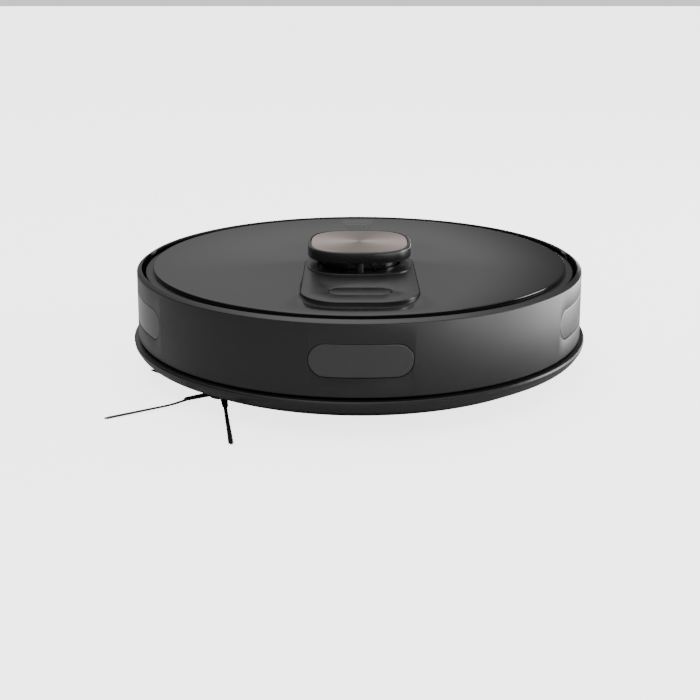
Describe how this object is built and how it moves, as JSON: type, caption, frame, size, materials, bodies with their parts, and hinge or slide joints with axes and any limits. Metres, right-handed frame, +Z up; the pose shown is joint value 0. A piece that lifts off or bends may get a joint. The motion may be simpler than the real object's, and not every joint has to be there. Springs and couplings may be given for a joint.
{
  "type": "robot vacuum",
  "caption": "Low round robot vacuum with a ranging turret, spring bumper, sprung drive wheels, caster, roller, side brush and slide-out dust bin.",
  "frame": {"origin": "middle of the skid pad, the lowest flat of the underside, on the vertical axis of the round body; the floor is 9 mm below it", "axes": "+Z up through the turret side, the machine drives towards -Y, +X is its left side"},
  "size_m": [0.35, 0.3607, 0.0965],
  "materials": {
    "shell": "satin moulded",
    "panel": "semi-gloss, very fine",
    "gloss_black": "gloss",
    "window": "infrared-clear, gloss",
    "inlay": "spun, anodised",
    "rotor": "gloss",
    "bin": "smoked",
    "inner_plastic": "moulded",
    "red_plastic": "moulded",
    "tyre": "moulded",
    "bristle": "nylon bundle",
    "belt": "matt",
    "steel": "plain",
    "contact": "plated",
    "board": "solder mask",
    "cells": "shrink wrap",
    "filter": "pleated paper",
    "light": "light guide"
  },
  "bodies": {
    "chassis": {"base_plate": "shell", "top_deck": "shell", "rear_shell": "shell", "exhaust_grille": "shell", "top_panel": "panel", "status_light": "light", "tower_base": "gloss_black", "tower_cap": "gloss_black", "cap_inlay": "inlay", "battery_pack": "cells", "battery_door": "shell", "main_board": "board", "blower_housing": "inner_plastic", "blower_motor": "steel", "roller_housing": "inner_plastic", "roller_frame": "red_plastic", "roller_gearbox": "inner_plastic", "side_brush_gearbox": "inner_plastic", "caster_socket": "inner_plastic", "charge_contact_left": "contact", "charge_contact_right": "contact", "cliff_window_left": "window", "cliff_window_right": "window", "speaker": "steel", "lidar_motor": "steel", "lidar_belt": "belt", "bumper_switch_left": "red_plastic", "bumper_switch_right": "red_plastic", "base_screw_1": "steel", "base_screw_2": "steel", "base_screw_3": "steel", "base_screw_4": "steel"},
    "bumper": {"bumper_shell": "shell", "front_window": "window", "left_window": "window", "right_window": "window"},
    "lidar": {"lidar_rotor": "rotor", "lidar_lens": "window"},
    "lidar_drive": {"lidar_motor_pulley": "steel"},
    "key": {"start_key": "gloss_black"},
    "side_brush": {"side_brush_hub": "shell", "side_brush_bristles": "bristle"},
    "roller": {"roller_core": "inner_plastic", "roller_blades": "red_plastic"},
    "drive_unit_left": {"wheel_gearbox_left": "inner_plastic", "suspension_spring_left": "steel"},
    "drive_unit_right": {"wheel_gearbox_right": "inner_plastic", "suspension_spring_right": "steel"},
    "wheel_left": {"wheel_hub_left": "inner_plastic", "tyre_left": "tyre"},
    "wheel_right": {"wheel_hub_right": "inner_plastic", "tyre_right": "tyre"},
    "caster": {"caster_carrier": "shell"},
    "caster_roll": {"caster_wheel": "inner_plastic"},
    "dust_bin": {"bin_tub": "bin", "bin_lid": "bin", "bin_filter": "filter"},
    "bin_release": {"bin_button": "shell"},
    "fan": {"impeller": "shell"}
  },
  "joints": [
    {"name": "bumper_press", "type": "slide", "parent": "chassis", "child": "bumper", "axis": [0, 1, 0], "range_m": [0, 0.0025], "stiffness_N_per_m": 600},
    {"name": "lidar_spin", "type": "hinge", "parent": "chassis", "child": "lidar", "pos_m": [0, -0.02, 0.07], "axis": [0, 0, 1], "continuous": true},
    {"name": "lidar_drive_spin", "type": "hinge", "parent": "chassis", "child": "lidar_drive", "pos_m": [0.034, -0.02, 0.06], "axis": [0, 0, 1], "continuous": true},
    {"name": "start_key_press", "type": "slide", "parent": "chassis", "child": "key", "axis": [0, 0, -1], "range_m": [0, 0.0006], "stiffness_N_per_m": 900},
    {"name": "side_brush_spin", "type": "hinge", "parent": "chassis", "child": "side_brush", "pos_m": [-0.09725, -0.10071, 0], "axis": [0, 0, 1], "continuous": true},
    {"name": "roller_spin", "type": "hinge", "parent": "chassis", "child": "roller", "pos_m": [0, 0.034, 0.0134], "axis": [1, 0, 0], "continuous": true},
    {"name": "suspension_left", "type": "hinge", "parent": "chassis", "child": "drive_unit_left", "pos_m": [0.09, -0.052, 0.03], "axis": [-1, 0, 0], "range_deg": [0, 22], "stiffness_Nm_per_rad": 0.35, "springref_deg": 57.3},
    {"name": "suspension_right", "type": "hinge", "parent": "chassis", "child": "drive_unit_right", "pos_m": [-0.09, -0.052, 0.03], "axis": [-1, 0, 0], "range_deg": [0, 22], "stiffness_Nm_per_rad": 0.35, "springref_deg": 57.3, "deforming": ["side_brush_bristles"]},
    {"name": "wheel_left_spin", "type": "hinge", "parent": "drive_unit_left", "child": "wheel_left", "pos_m": [0.121, 0, 0.0265], "axis": [1, 0, 0], "continuous": true},
    {"name": "wheel_right_spin", "type": "hinge", "parent": "drive_unit_right", "child": "wheel_right", "pos_m": [-0.121, 0, 0.0265], "axis": [1, 0, 0], "continuous": true},
    {"name": "caster_swivel", "type": "hinge", "parent": "chassis", "child": "caster", "pos_m": [0, -0.135, 0.02], "axis": [0, 0, 1], "continuous": true},
    {"name": "caster_roll_spin", "type": "hinge", "parent": "caster", "child": "caster_roll", "pos_m": [0, -0.129, 0.004], "axis": [1, 0, 0], "continuous": true},
    {"name": "bin_slide", "type": "slide", "parent": "chassis", "child": "dust_bin", "axis": [0, 1, 0], "range_m": [0, 0.105]},
    {"name": "bin_button_press", "type": "slide", "parent": "dust_bin", "child": "bin_release", "axis": [0, -1, 0], "range_m": [0, 0.0015], "stiffness_N_per_m": 500},
    {"name": "fan_spin", "type": "hinge", "parent": "chassis", "child": "fan", "pos_m": [0.10502, 0.07645, 0.045], "axis": [0, 0, 1], "continuous": true}
  ],
  "couplings": [
    {"joint": "lidar_drive_spin", "follows": "lidar_spin", "ratio": 4}
  ]
}
